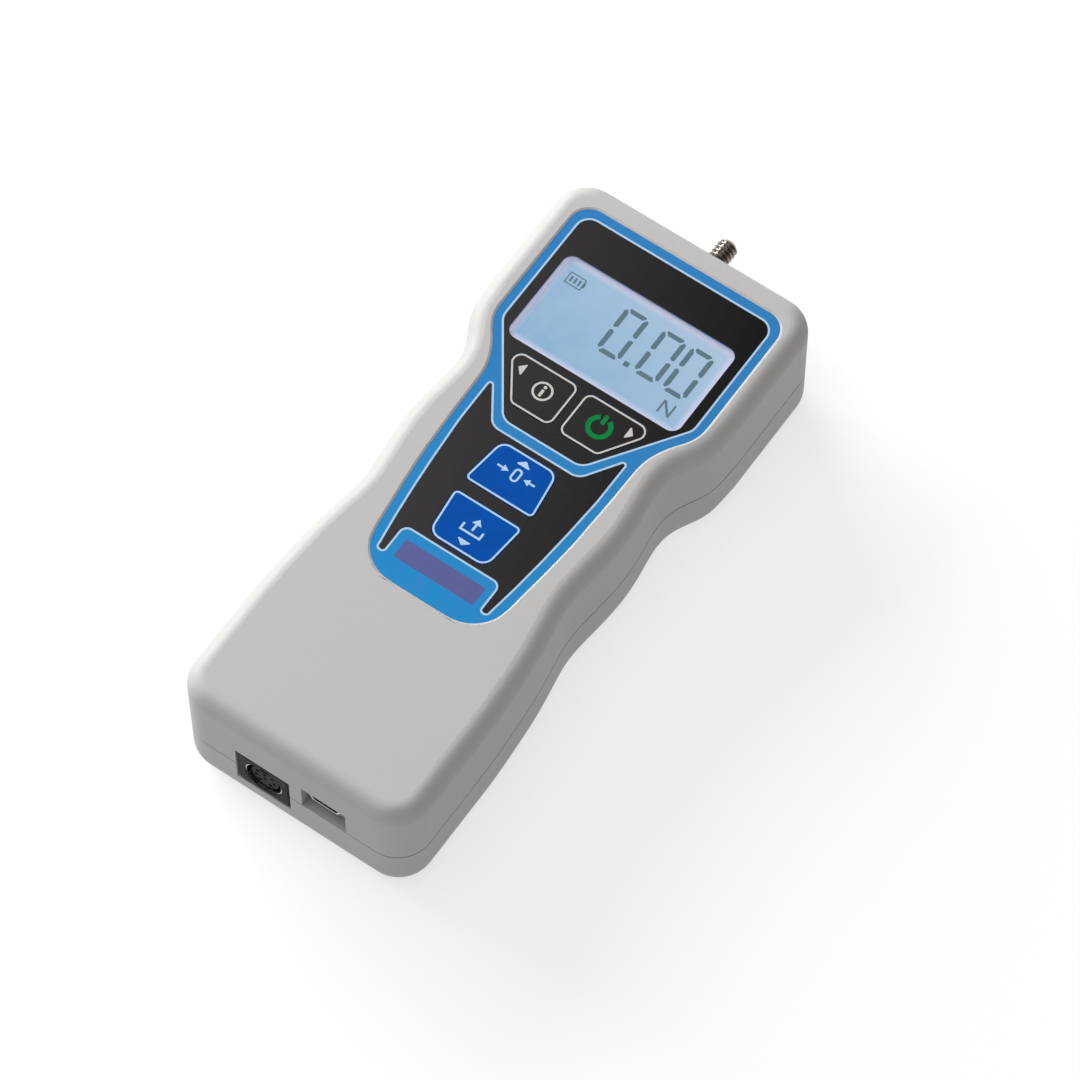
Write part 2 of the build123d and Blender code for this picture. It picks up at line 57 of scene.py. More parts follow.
# ---------------------------------------------------------------- materials
class Nodes:
    """Small helper round one material's node tree."""

    def __init__(self, name):
        self.m = bpy.data.materials.new(name)
        self.m.use_nodes = True
        self.t = self.m.node_tree
        self.t.nodes.clear()
        self.out = self.add("ShaderNodeOutputMaterial")
        self.p = self.add("ShaderNodeBsdfPrincipled")
        self.t.links.new(self.p.outputs[0], self.out.inputs["Surface"])
        self.co = self.add("ShaderNodeTexCoord").outputs["Object"]

    def add(self, kind):
        return self.t.nodes.new(kind)

    def link(self, a, b):
        self.t.links.new(a, b)

    def stretched(self, scale):
        n = self.add("ShaderNodeMapping")
        n.inputs["Scale"].default_value = scale
        self.link(self.co, n.inputs["Vector"])
        return n.outputs[0]

    def noise(self, scale, detail=3.0, rough=0.55, co=None):
        n = self.add("ShaderNodeTexNoise")
        n.inputs["Scale"].default_value = scale
        n.inputs["Detail"].default_value = detail
        n.inputs["Roughness"].default_value = rough
        self.link(co or self.co, n.inputs["Vector"])
        return n.outputs["Fac"]

    def cells(self, scale):
        n = self.add("ShaderNodeTexVoronoi")
        n.inputs["Scale"].default_value = scale
        self.link(self.co, n.inputs["Vector"])
        return n.outputs["Distance"]

    def span(self, src, lo, hi, a=0.3, b=0.7):
        n = self.add("ShaderNodeMapRange")
        n.inputs["From Min"].default_value = a
        n.inputs["From Max"].default_value = b
        n.inputs["To Min"].default_value = lo
        n.inputs["To Max"].default_value = hi
        self.link(src, n.inputs["Value"])
        return n.outputs[0]

    def mix(self, fac, c1, c2, kind="MIX"):
        n = self.add("ShaderNodeMix")
        n.data_type = "RGBA"
        n.blend_type = kind
        for key, val in (("Factor", fac), ("A", c1), ("B", c2)):
            sock = [s for s in n.inputs
                    if s.name == key and s.type == ("VALUE" if key == "Factor"
                                                    else "RGBA")][0]
            if isinstance(val, (tuple, float, int)):
                sock.default_value = val
            else:
                self.link(val, sock)
        return [s for s in n.outputs if s.type == "RGBA"][0]

    def math(self, op, a, b=None, clamp=False):
        n = self.add("ShaderNodeMath")
        n.operation = op
        n.use_clamp = clamp
        for i, v in enumerate((a, b)):
            if v is None:
                continue
            if isinstance(v, (float, int)):
                n.inputs[i].default_value = v
            else:
                self.link(v, n.inputs[i])
        return n.outputs[0]

    def bump(self, height, dist, strength=1.0, below=None):
        n = self.add("ShaderNodeBump")
        n.inputs["Distance"].default_value = dist
        n.inputs["Strength"].default_value = strength
        self.link(height, n.inputs["Height"])
        if below is not None:
            self.link(below, n.inputs["Normal"])
        return n.outputs[0]

    def set(self, **kw):
        for k, v in kw.items():
            sock = self.p.inputs[k.replace("_", " ")]
            if isinstance(v, (tuple, float, int)):
                sock.default_value = v
            else:
                self.link(v, sock)
        return self


def finish(name, colour, rough, metal=0.0, vary=0.05, big=60.0, fine=2600.0,
           grain=0.000012, rough_vary=0.06, spec=0.5, coat=0.0,
           coat_rough=0.1, stretch=None, **extra):
    """Moulded, printed or machined surface: broad and fine tone change,
    roughness change and a fine relief."""
    n = Nodes(name)
    co = n.stretched(stretch) if stretch else None
    broad = n.noise(big, 4.0, 0.6)
    small = n.noise(fine, 2.0, 0.5, co)
    tone = n.mix(n.span(broad, 0.0, 1.0), shade(colour, 1 - vary),
                 shade(colour, 1 + vary))
    tone = n.mix(n.span(small, 0.0, 0.35), tone, shade(colour, 1 - 1.6 * vary))
    rgh = n.span(n.noise(fine * 0.35, 3.0, 0.6, co), max(rough - rough_vary, 0.02),
                 min(rough + rough_vary, 1.0))
    n.set(Base_Color=tone, Roughness=rgh, Metallic=metal,
          Specular_IOR_Level=spec, Coat_Weight=coat,
          Coat_Roughness=coat_rough, Normal=n.bump(small, grain))
    n.set(**extra)
    return n.m


def housing_material():
    n = Nodes("housing_plastic")
    base = HOUSING
    broad = n.noise(28.0, 3.0, 0.55)
    spark = n.noise(3600.0, 2.0, 0.6)
    pits = n.cells(2300.0)
    tone = n.mix(n.span(broad, 0.0, 1.0), shade(base, 0.985), shade(base, 1.012))
    tone = n.mix(n.span(spark, 0.0, 0.5, 0.35, 0.75), tone, shade(base, 0.93))
    rgh = n.span(n.noise(900.0, 3.0, 0.6), 0.5, 0.62)
    low = n.bump(pits, 0.000012, 0.7)
    n.set(Base_Color=tone, Roughness=rgh, Specular_IOR_Level=0.42,
          Normal=n.bump(spark, 0.00002, 0.8, low))
    return n.m


def blue_print_material():
    """Printed polycarbonate: deeper blue at the head, lighter at the foot."""
    n = Nodes("overlay_blue_print")
    sep = n.add("ShaderNodeSeparateXYZ")
    n.link(n.co, sep.inputs[0])
    foot = n.span(sep.outputs["Y"], 1.0, 0.0, -0.030, 0.030)
    tone = n.mix(foot, srgb(42, 115, 170), srgb(24, 128, 184))
    mott = n.noise(240.0, 4.0, 0.6)
    tone = n.mix(n.span(mott, 0.0, 0.5), tone, srgb(52, 120, 176))
    fine = n.noise(5200.0, 2.0, 0.5)
    tone = n.mix(n.span(fine, 0.0, 0.22), tone, srgb(26, 96, 160))
    n.set(Base_Color=tone, Roughness=n.span(n.noise(1500.0), 0.34, 0.46),
          Specular_IOR_Level=0.08, Normal=n.bump(fine, 0.000006))
    return n.m


def black_print_material(name, colour):
    """Printed black, greyer on the side the key light comes from."""
    n = Nodes(name)
    sep = n.add("ShaderNodeSeparateXYZ")
    n.link(n.co, sep.inputs[0])
    slope = n.math("ADD", sep.outputs["X"],
                   n.math("MULTIPLY", sep.outputs["Y"], 0.3))
    lit = n.span(slope, 1.0, 0.0, -0.022, 0.042)
    mott = n.noise(90.0, 4.0, 0.6)
    fine = n.noise(5600.0, 2.0, 0.5)
    tone = n.mix(n.span(mott, 0.0, 1.0), shade(colour, 0.88),
                 shade(colour, 1.14))
    tone = n.mix(n.span(fine, 0.0, 0.25), tone, shade(colour, 1.5))
    tone = n.mix(n.math("MULTIPLY", lit, 0.9), tone, shade(colour, 6.6))
    n.set(Base_Color=tone, Roughness=n.span(n.noise(1500.0), 0.34, 0.46),
          Specular_IOR_Level=0.1, Normal=n.bump(fine, 0.000006))
    return n.m


def display_material():
    """Backlit display: pale rim where the light enters, blue centre, and a painted
    glow along the left rim.
    """
    n = Nodes("display_face")
    sep = n.add("ShaderNodeSeparateXYZ")
    n.link(n.co, sep.inputs[0])
    x = n.math("SUBTRACT", sep.outputs["X"], LX * MM)
    y = n.math("SUBTRACT", sep.outputs["Y"], 44.72 * MM)
    dx = n.math("SUBTRACT", 21.9 * MM, n.math("ABSOLUTE", x))
    dy = n.math("SUBTRACT", 12.0 * MM, n.math("ABSOLUTE", y))
    edge = n.math("MINIMUM", dx, dy)
    glow = n.span(edge, 1.0, 0.0, 0.35 * MM, 1.9 * MM)
    slope = n.math("ADD", n.math("MULTIPLY", x, 0.55), y)
    up = n.span(slope, 0.0, 1.0, -0.016, 0.020)
    blotch = n.noise(150.0, 3.0, 0.6)
    centre = n.mix(up, LCD_LOW, LCD_HIGH)
    centre = n.mix(n.span(blotch, 0.0, 0.35), centre, LCD_HIGH)
    rim = n.mix(n.span(blotch, 0.0, 0.6), LCD_RIM, LCD_RIM2)
    tone = n.mix(glow, centre, rim)
    fine = n.noise(4200.0, 2.0, 0.5)
    tone = n.mix(n.span(fine, 0.0, 0.10), tone, LCD_LOW)
    # Painted light: extra emission brightens the left rim beyond the backlight's
    # own glow.
    left = n.span(x, 1.0, 0.0, -0.0215, -0.0185)
    backlight_and_painted_glow = n.math("ADD", 0.22, n.math("MULTIPLY", left, 0.34))
    backlight_and_painted_glow = n.math("ADD", backlight_and_painted_glow, n.math("MULTIPLY", glow, 0.06))
    n.set(Base_Color=tone, Roughness=n.span(n.noise(900.0), 0.28, 0.4),
          Specular_IOR_Level=0.3, Emission_Color=tone,
          Emission_Strength=backlight_and_painted_glow)
    return n.m


def clear_material():
    n = Nodes("window_clear")
    haze = n.noise(700.0, 3.0, 0.6)
    n.set(Base_Color=n.mix(haze, srgb(226, 236, 244), srgb(240, 244, 248)),
          Roughness=n.span(haze, 0.06, 0.14), Alpha=0.03,
          Specular_IOR_Level=0.5,
          Normal=n.bump(n.noise(60.0, 2.0), 0.00002, 0.3))
    return n.m


def glass_material():
    n = Nodes("lcd_glass")
    haze = n.noise(500.0, 3.0, 0.6)
    n.set(Base_Color=n.mix(haze, srgb(120, 132, 118), srgb(142, 152, 136)),
          Roughness=n.span(haze, 0.08, 0.16), Specular_IOR_Level=0.5,
          Normal=n.bump(n.noise(80.0, 2.0), 0.00001, 0.3))
    return n.m


def board_material():
    """Solder resist over copper tracks."""
    n = Nodes("board_green")
    brick = n.add("ShaderNodeTexBrick")
    brick.inputs["Scale"].default_value = 260.0
    brick.inputs["Mortar Size"].default_value = 0.07
    brick.inputs["Color1"].default_value = srgb(22, 84, 52)
    brick.inputs["Color2"].default_value = srgb(28, 98, 60)
    brick.inputs["Mortar"].default_value = srgb(18, 66, 42)
    n.link(n.co, brick.inputs["Vector"])
    fine = n.noise(1800.0, 3.0, 0.6)
    tone = n.mix(n.span(fine, 0.0, 0.3), brick.outputs["Color"],
                 srgb(34, 110, 70))
    n.set(Base_Color=tone, Roughness=n.span(fine, 0.28, 0.42),
          Specular_IOR_Level=0.5,
          Normal=n.bump(brick.outputs["Fac"], 0.00003, 0.6))
    return n.m


def foam_material():
    n = Nodes("pad_foam")
    pores = n.cells(1500.0)
    tone = n.mix(n.span(pores, 0.0, 1.0, 0.1, 0.6), srgb(24, 24, 26),
                 srgb(58, 58, 60))
    n.set(Base_Color=tone, Roughness=n.span(pores, 0.8, 0.98),
          Specular_IOR_Level=0.2, Normal=n.bump(pores, 0.0002, 0.8))
    return n.m


def sleeve_material():
    """Heat-shrink sleeve round the battery cells, welded to metal ends."""
    n = Nodes("battery_sleeve")
    sep = n.add("ShaderNodeSeparateXYZ")
    n.link(n.co, sep.inputs[0])
    ends = n.math("MAXIMUM",
                  n.math("GREATER_THAN", sep.outputs["Y"], -0.0129),
                  n.math("LESS_THAN", sep.outputs["Y"], -0.0556))
    wrinkle = n.noise(700.0, 3.0, 0.6, n.stretched((1.0, 0.15, 1.0)))
    film = n.mix(n.span(wrinkle, 0.0, 0.6), srgb(40, 104, 84),
                 srgb(58, 128, 104))
    tone = n.mix(ends, film, srgb(186, 186, 182))
    n.set(Base_Color=tone, Metallic=ends,
          Roughness=n.span(wrinkle, 0.22, 0.36),
          Normal=n.bump(wrinkle, 0.00004, 0.6))
    return n.m


def turned_material(name, colour, rough, lines=5200.0):
    """Metal turned about the shaft's axis: fine rings along Y."""
    n = Nodes(name)
    rings = n.noise(1.0, 3.0, 0.6, n.stretched((40.0, lines, 40.0)))
    smear = n.noise(220.0, 4.0, 0.6)
    tone = n.mix(n.span(rings, 0.0, 1.0), shade(colour, 0.86),
                 shade(colour, 1.08))
    tone = n.mix(n.span(smear, 0.0, 0.3), tone, shade(colour, 0.7))
    n.set(Base_Color=tone, Metallic=1.0,
          Roughness=n.span(smear, rough - 0.05, rough + 0.08),
          Normal=n.bump(rings, 0.000006, 0.8))
    return n.m


HOUSING = srgb(172, 170, 168)
LCD_LOW = srgb(104, 144, 174)
LCD_HIGH = srgb(142, 163, 184)
LCD_RIM = srgb(178, 174, 196)
LCD_RIM2 = srgb(160, 169, 190)
INK_LCD = srgb(56, 90, 104)

M_HOUSING = housing_material()
M_BLUE = blue_print_material()
M_BLACK = black_print_material("overlay_black_print", srgb(15, 14, 14))
M_STRIPE = finish("overlay_stripe_print", srgb(158, 186, 212), 0.4, spec=0.2,
                  vary=0.05, big=400.0, fine=5200.0, grain=0.000004)
M_PLATE = finish("overlay_plate_print", srgb(78, 84, 136), 0.42, vary=0.06,
                 spec=0.2,
                 big=300.0, fine=4200.0, grain=0.000006)
M_CLEAR = clear_material()
M_GLASS = glass_material()
M_DISPLAY = display_material()
M_SEGMENT = finish("display_segment_ink", INK_LCD, 0.5, vary=0.07, big=300.0,
                   fine=4000.0, grain=0.000002, spec=0.2)
M_KEY_BLACK = black_print_material("key_black", srgb(16, 15, 15))
M_KEY_BLUE = finish("key_blue", srgb(0, 70, 152), 0.42, spec=0.05, vary=0.07,
                    big=240.0,
                    fine=5200.0, grain=0.000006)
M_INK_GREY = finish("key_ink_grey", srgb(182, 178, 174), 0.45, vary=0.05,
                    big=500.0, fine=5200.0, grain=0.000004)
M_INK_PALE = finish("key_ink_pale", srgb(156, 188, 216), 0.45, vary=0.05,
                    big=500.0, fine=5200.0, grain=0.000004)
M_INK_GREEN = finish("key_ink_green", srgb(0, 118, 56), 0.45, vary=0.10, spec=0.06,
                     big=500.0, fine=5200.0, grain=0.000004)
M_GUIDE = finish("light_guide", srgb(214, 220, 224), 0.35, vary=0.03)
M_BLACKP = finish("black_plastic", srgb(17, 17, 18), 0.42, vary=0.12, spec=0.18,
                  big=160.0, fine=3000.0, grain=0.000015)
M_SOCKET = finish("socket_black_plastic", srgb(22, 22, 23), 0.5, vary=0.12,
                  spec=0.1, big=160.0, fine=3000.0, grain=0.000015)
M_RUBBER = finish("strip_rubber", srgb(202, 122, 138), 0.7, vary=0.06)
M_NICKEL = finish("socket_nickel", srgb(196, 194, 188), 0.26, metal=1.0,
                  vary=0.05, big=300.0, fine=3000.0, grain=0.000006)
M_BRASS = finish("contact_brass", srgb(206, 172, 96), 0.3, metal=1.0,
                 vary=0.08, big=300.0, fine=3000.0, grain=0.000008)
M_ALU = finish("cell_aluminium", srgb(186, 188, 190), 0.34, metal=1.0,
               vary=0.06, fine=900.0, grain=0.00001, stretch=(1.0, 6.0, 1.0))
M_ZINC = finish("zinc_steel", srgb(176, 178, 176), 0.36, metal=1.0, vary=0.09,
                big=180.0, fine=1600.0, grain=0.00001)
M_SCREW = finish("screw_steel", srgb(92, 92, 94), 0.38, metal=1.0, vary=0.12,
                 big=300.0, fine=2600.0, grain=0.00001)
M_BUSH = turned_material("bush_bronze", srgb(190, 150, 98), 0.36)
M_SHAFT = turned_material("shaft_steel", srgb(150, 142, 134), 0.2)
M_BOARD = board_material()
M_FOAM = foam_material()
M_SLEEVE = sleeve_material()

CAD_FINISH = {
    "front_shell": M_HOUSING, "rear_shell": M_HOUSING,
    "face_overlay": M_BLUE, "display_window": M_CLEAR,
    "lcd_front_glass": M_GLASS, "lcd_rear_glass": M_GLASS,
    "lcd_backlight": M_GUIDE, "lcd_frame": M_BLACKP,
    "lcd_contact_strip": M_RUBBER, "info_key": M_KEY_BLACK,
    "power_key": M_KEY_BLACK, "zero_key": M_KEY_BLUE,
    "send_key": M_KEY_BLUE, "tactile_switches": M_BLACKP,
    "main_board": M_BOARD, "board_components": M_BLACKP, "buzzer": M_BLACKP,
    "din_socket_housing": M_SOCKET, "din_socket_shield": M_NICKEL,
    "din_socket_core": M_SOCKET, "din_socket_contacts": M_BRASS,
    "usb_socket_shell": M_NICKEL, "usb_socket_tongue": M_BLACKP,
    "usb_socket_contacts": M_BRASS, "connector_board": M_BOARD,
    "load_cell": M_ALU, "load_cell_bracket": M_ZINC,
    "load_cell_screws": M_SCREW, "overload_stops": M_SCREW,
    "shaft_carrier": M_ZINC, "shaft_bush": M_BUSH,
    "measuring_shaft": M_SHAFT, "battery_cells": M_SLEEVE,
    "battery_tray": M_BLACKP, "battery_pad": M_FOAM,
    "shell_screws": M_SCREW, "board_screws": M_SCREW,
    "mounting_inserts": M_BRASS,
}
for node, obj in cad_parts.items():
    mat = CAD_FINISH[node]
    if obj.data.materials:
        for i in range(len(obj.data.materials)):
            obj.data.materials[i] = mat
    else:
        obj.data.materials.append(mat)


# ------------------------------------------------------------ outlines, mm
def rounded(points, radii, step=0.14):
    """Closed outline with its corners rounded, densely sampled."""
    out = []
    n = len(points)
    for i in range(n):
        p = Vector(points[i])
        a = Vector(points[i - 1]) - p
        b = Vector(points[(i + 1) % n]) - p
        r = radii[i]
        cosang = max(-1.0, min(1.0, a.normalized().dot(b.normalized())))
        ang = math.acos(cosang)
        if r <= 0 or ang > math.pi - 1e-4:
            out.append(tuple(p))
            continue
        cut = min(r / math.tan(ang / 2), 0.49 * a.length, 0.49 * b.length)
        r = cut * math.tan(ang / 2)
        ta, tb = p + a.normalized() * cut, p + b.normalized() * cut
        c = p + (a.normalized() + b.normalized()).normalized() * (
            r / math.sin(ang / 2))
        va, vb = ta - c, tb - c
        sweep = math.pi - ang
        k = max(2, min(28, int(math.ceil(sweep * r / step))))
        turn = 1 if va.x * vb.y - va.y * vb.x > 0 else -1
        for j in range(k + 1):
            t = turn * sweep * j / k
            out.append((c.x + va.x * math.cos(t) - va.y * math.sin(t),
                        c.y + va.x * math.sin(t) + va.y * math.cos(t)))
    return ccw(out)


def area(loop):
    return 0.5 * sum(loop[i - 1][0] * loop[i][1] - loop[i][0] * loop[i - 1][1]
                     for i in range(len(loop)))


def ccw(loop):
    clean = []
    for p in loop:
        if not clean or math.dist(p, clean[-1]) > 1e-5:
            clean.append(p)
    if math.dist(clean[0], clean[-1]) < 1e-5:
        clean.pop()
    return clean if area(clean) > 0 else clean[::-1]


def grown(loop, d):
    """Outline moved outwards by d (inwards when d is negative)."""
    n = len(loop)
    out = []
    for i in range(n):
        p0, p1, p2 = (Vector(loop[i - 1]), Vector(loop[i]),
                      Vector(loop[(i + 1) % n]))
        e0, e1 = (p1 - p0).normalized(), (p2 - p1).normalized()
        n0, n1 = Vector((e0.y, -e0.x)), Vector((e1.y, -e1.x))
        m = n0 + n1
        m = m / max(m.length_squared, 1e-9) * 2.0
        if m.length > 2.5:
            m = m.normalized() * 2.5
        q = p1 + m * d
        out.append((q.x, q.y))
    return out


def mirrored(half):
    """Closed outline from the right-hand half, top centre to foot centre."""
    left = [(-x, y) for x, y in half[::-1] if abs(x) > 1e-9]
    return half + left


def circle(x, y, r, k=40):
    return [(x + r * math.cos(2 * math.pi * i / k),
             y + r * math.sin(2 * math.pi * i / k)) for i in range(k)]


def curve(points, per=6):
    """Catmull-Rom points through an open run."""
    pts = [points[0]] + list(points) + [points[-1]]
    out = []
    for i in range(1, len(pts) - 2):
        p0, p1, p2, p3 = (Vector(pts[j]) for j in (i - 1, i, i + 1, i + 2))
        for s in range(per):
            t = s / per
            q = 0.5 * ((2 * p1) + (p2 - p0) * t
                       + (2 * p0 - 5 * p1 + 4 * p2 - p3) * t * t
                       + (3 * p1 - p0 - 3 * p2 + p3) * t ** 3)
            out.append((q.x, q.y))
    out.append(tuple(points[-1]))
    return out


def make(name, verts, faces, body, mat, smooth=False):
    me = bpy.data.meshes.new(name)
    me.from_pydata([(x * MM, y * MM, z * MM) for x, y, z in verts], [], faces)
    me.validate()
    me.update()
    if smooth:
        me.shade_smooth()
    me.materials.append(mat)
    ob = bpy.data.objects.new(name, me)
    bpy.context.scene.collection.objects.link(ob)
    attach(ob, body)
    return ob


def slab_mesh(shapes, z0, z1, dx=LX):
    """Thin flat layers; each shape is (outline, hole, hole, ...)."""
    verts, faces = [], []
    for shape in shapes:
        loops = [ccw(shape[0])] + [ccw(h)[::-1] for h in shape[1:]]
        base = len(verts)
        total = sum(len(q) for q in loops)
        for z in (z0, z1):
            for loop in loops:
                verts += [(x + dx, y, z) for x, y in loop]
        flat = [p for loop in loops for p in loop]
        for t in geometry.tessellate_polygon(
                [[Vector((x, y, 0.0)) for x, y in loop] for loop in loops]):
            (ax, ay), (bx, by), (cx, cy) = (flat[i] for i in t)
            s = (bx - ax) * (cy - ay) - (by - ay) * (cx - ax)
            if abs(s) < 1e-12:
                continue
            up = tuple(t) if s > 0 else tuple(t)[::-1]
            faces.append(tuple(base + total + i for i in up))
            faces.append(tuple(base + i for i in up[::-1]))
        at = base
        for loop in loops:
            k = len(loop)
            for i in range(k):
                j = (i + 1) % k
                faces.append((at + i, at + j, at + total + j, at + total + i))
            at += k
    return verts, faces


def slab(name, shapes, z0, z1, body, mat):
    v, f = slab_mesh(shapes, z0, z1)
    return make(name, v, f, body, mat)


def ring(loop, out, inn):
    return (grown(loop, out), grown(loop, inn))


# ------------------------------------------------------- printed face panel
HALF = [(27.0, 38.6), (26.84, 36.12), (26.16, 33.82), (24.98, 31.75),
        (23.53, 29.75), (22.35, 27.79), (21.42, 25.83), (20.79, 23.89),
        (20.45, 21.94), (20.3, 19.98), (20.2, 15.99), (20.1, 11.99),
        (19.95, 7.98), (19.75, 3.98), (19.6, -0.03), (19.25, -4.04),
        (18.85, -8.05), (18.4, -12.05), (17.9, -16.05), (17.45, -20.06),
        (17.09, -22.1), (16.52, -24.15), (15.99, -25.23), (15.25, -26.28),
        (14.31, -27.33), (12.99, -28.38), (11.06, -29.42), (8.46, -30.05),
        (5.0, -30.2)]
corner = [(21.75 + 5.25 * math.sin(math.radians(a)),
           64.0 + 5.25 * math.cos(math.radians(a)))
          for a in range(0, 91, 6)]
recess = ccw(mirrored(corner + curve(HALF)))
window_loop = rounded([(-21.9, 32.7), (21.9, 32.7), (21.9, 56.75),
                       (-21.9, 56.75)], [2.4] * 4)
KEYS = {
    "info_key": ([(-18.96, 30.85), (-11.16, 19.15), (-0.95, 19.15),
                  (-0.95, 30.85)], (2.3, 1.8, 2.0, 2.0)),
    "power_key": ([(18.96, 30.85), (11.16, 19.15), (0.95, 19.15),
                   (0.95, 30.85)], (2.3, 1.8, 2.0, 2.0)),
    "zero_key": ([(-7.16, 10.97), (-8.73, -0.97), (8.73, -0.97),
                  (7.16, 10.97)], (2.7, 1.2, 1.2, 2.7)),
    "send_key": ([(-8.6, -4.08), (-7.4, -15.97), (7.4, -15.97),
                  (8.6, -4.08)], (1.2, 2.9, 2.9, 1.2)),
}
key_loop = {k: rounded(p, r) for k, (p, r) in KEYS.items()}

# sloped edge of the recess in the front shell
inner_edge = grown(recess, -0.45)
edge = grown(recess, -0.004)
k = len(recess)
verts = ([(x + LX, y, Z_OVER) for x, y in edge]
         + [(x + LX, y, Z_FACE - 0.002) for x, y in edge]
         + [(x + LX, y, Z_OVER + 0.004) for x, y in inner_edge])
faces = []
for i in range(k):
    j = (i + 1) % k
    faces.append((i, j, k + j, k + i))
    faces.append((k + i, k + j, 2 * k + j, 2 * k + i))
    faces.append((2 * k + i, 2 * k + j, j, i))
make("front_shell_recess_edge", verts, faces, "housing", M_HOUSING)

head_line = rounded([(24.5, 66.5), (-24.5, 66.5), (-24.5, 35.7), (-10.0, 15.0),
                     (10.0, 15.0), (24.5, 35.7)], [3.3, 3.3, 4.0, 3.8, 3.8, 4.0])
low_half = ([(0.0, 12.3)] + [(11.13, 12.3)] + [(17.42, 21.7)]
            + [(17.4, 19.0), (17.33, 10.0), (16.65, 0.0), (16.3, -4.0),
               (15.95, -8.0), (15.5, -12.0), (15.05, -16.0), (14.5, -20.0),
               (14.05, -23.0), (13.85, -24.7), (12.42, -24.7),
               (12.42, -17.12), (0.0, -17.12)])
low_rad = [0, 3.6, 0.62, 6, 20, 20, 20, 20, 20, 20, 20, 8, 0.66, 0.66, 2.0, 0]
low_pts = mirrored(low_half)
low_rads = low_rad + low_rad[1:-1][::-1]
low_edge = rounded(low_pts, low_rads)

T = 0.012
slab("face_print_head_panel",
     [(head_line, grown(window_loop, 0.0), grown(key_loop["info_key"], 0.16),
       grown(key_loop["power_key"], 0.16))],
     Z_OVER - 0.002, Z_OVER + T, "housing", M_BLACK)
slab("face_print_key_panel",
     [(low_edge, grown(key_loop["zero_key"], 0.16),
       grown(key_loop["send_key"], 0.16))],
     Z_OVER - 0.002, Z_OVER + T, "housing", M_BLACK)
slab("face_print_head_stripe", [ring(head_line, 0.225, -0.225)],
     Z_OVER - 0.001, Z_OVER + 2 * T, "housing", M_STRIPE)
slab("face_print_key_stripe", [ring(low_edge, 0.45, 0.0)],
     Z_OVER - 0.001, Z_OVER + 2 * T, "housing", M_STRIPE)
slab("face_print_plate",
     [(rounded([(-10.0, -24.6), (10.25, -24.6), (10.25, -19.8),
                (-10.0, -19.8)], [0.45] * 4),)],
     Z_OVER - 0.002, Z_OVER + T, "housing", M_PLATE)

# ------------------------------------------------------------- key printing
ZK0, ZK1 = Z_KEY - 0.002, Z_KEY + 0.014


def tri(a, b, c, r=0.18):
    return rounded([a, b, c], [r] * 3, 0.05)


def bar(x0, x1, y0, y1, r=0.12):
    return rounded([(x0, y0), (x1, y0), (x1, y1), (x0, y1)], [r] * 4, 0.05)


def arc_band(x, y, r0, r1, a0, a1, k=48):
    outer = [(x + r1 * math.cos(math.radians(a0 + (a1 - a0) * i / k)),
              y + r1 * math.sin(math.radians(a0 + (a1 - a0) * i / k)))
             for i in range(k + 1)]
    inner_ = [(x + r0 * math.cos(math.radians(a0 + (a1 - a0) * i / k)),
               y + r0 * math.sin(math.radians(a0 + (a1 - a0) * i / k)))
              for i in range(k + 1)]
    return ccw(outer + inner_[::-1])


for name, ink in (("info_key", M_INK_GREY), ("power_key", M_INK_GREY),
                  ("zero_key", M_INK_PALE), ("send_key", M_INK_PALE)):
    slab(name + "_outline_print", [ring(key_loop[name], -0.12, -0.54)],
         ZK0, ZK1, name, ink)

slab("info_key_arrow_print",
     [(tri((-14.65, 27.45), (-13.1, 25.65), (-13.1, 29.05)),)],
     ZK0, ZK1, "info_key", M_INK_GREY)
slab("info_key_symbol_print",
     [(circle(-7.0, 25.35, 2.35), circle(-7.0, 25.35, 1.85)),
      (bar(-7.34, -6.66, 23.95, 25.75, 0.1),),
      (circle(-7.0, 26.45, 0.4, 20),)],
     ZK0, ZK1, "info_key", M_INK_GREY)
slab("power_key_arrow_print",
     [(tri((14.8, 27.35), (13.3, 25.75), (13.3, 29.15)),)],
     ZK0, ZK1, "power_key", M_INK_GREY)
slab("power_key_symbol_print",
     [(arc_band(7.75, 25.1, 1.9, 3.0, 118, 422),),
      (bar(7.28, 8.22, 25.9, 28.35, 0.25),)],
     ZK0, ZK1, "power_key", M_INK_GREEN)
slab("zero_key_arrow_print",
     [(tri((0.05, 9.6), (-1.8, 8.1), (1.85, 8.1)),)],
     ZK0, ZK1, "zero_key", M_INK_PALE)
zero = rounded([(-0.95, 3.9), (1.05, 3.9), (1.05, 7.3), (-0.95, 7.3)],
               [0.95] * 4, 0.06)
slab("zero_key_symbol_print",
     [(zero, grown(zero, -0.48)),
      (ccw([(-4.7, 5.36), (-3.3, 5.36), (-3.3, 4.75), (-1.85, 5.6),
            (-3.3, 6.45), (-3.3, 5.84), (-4.7, 5.84)]),),
      (ccw([(4.8, 5.84), (3.4, 5.84), (3.4, 6.45), (1.95, 5.6),
            (3.4, 4.75), (3.4, 5.36), (4.8, 5.36)]),)],
     ZK0, ZK1, "zero_key", M_INK_PALE)
slab("send_key_arrow_print",
     [(tri((0.05, -14.5), (1.85, -13.1), (-1.75, -13.1)),)],
     ZK0, ZK1, "send_key", M_INK_PALE)
slab("send_key_symbol_print",
     [(ccw([(-2.6, -9.6), (-2.6, -11.5), (2.7, -11.5), (2.7, -9.6),
            (2.2, -9.6), (2.2, -11.0), (-2.1, -11.0), (-2.1, -9.6)]),),
      (ccw([(-0.22, -10.4), (0.32, -10.4), (0.32, -8.75), (1.25, -8.75),
            (0.05, -7.3), (-1.15, -8.75), (-0.22, -8.75)]),)],
     ZK0, ZK1, "send_key", M_INK_PALE)

# ------------------------------------------------------------------ display
slab("lcd_polariser", [(rounded([(-22.9, 32.4), (22.9, 32.4), (22.9, 57.6),
                                 (-22.9, 57.6)], [0.3] * 4),)],
     Z_GLASS, Z_GLASS + 0.02, "housing", M_DISPLAY)


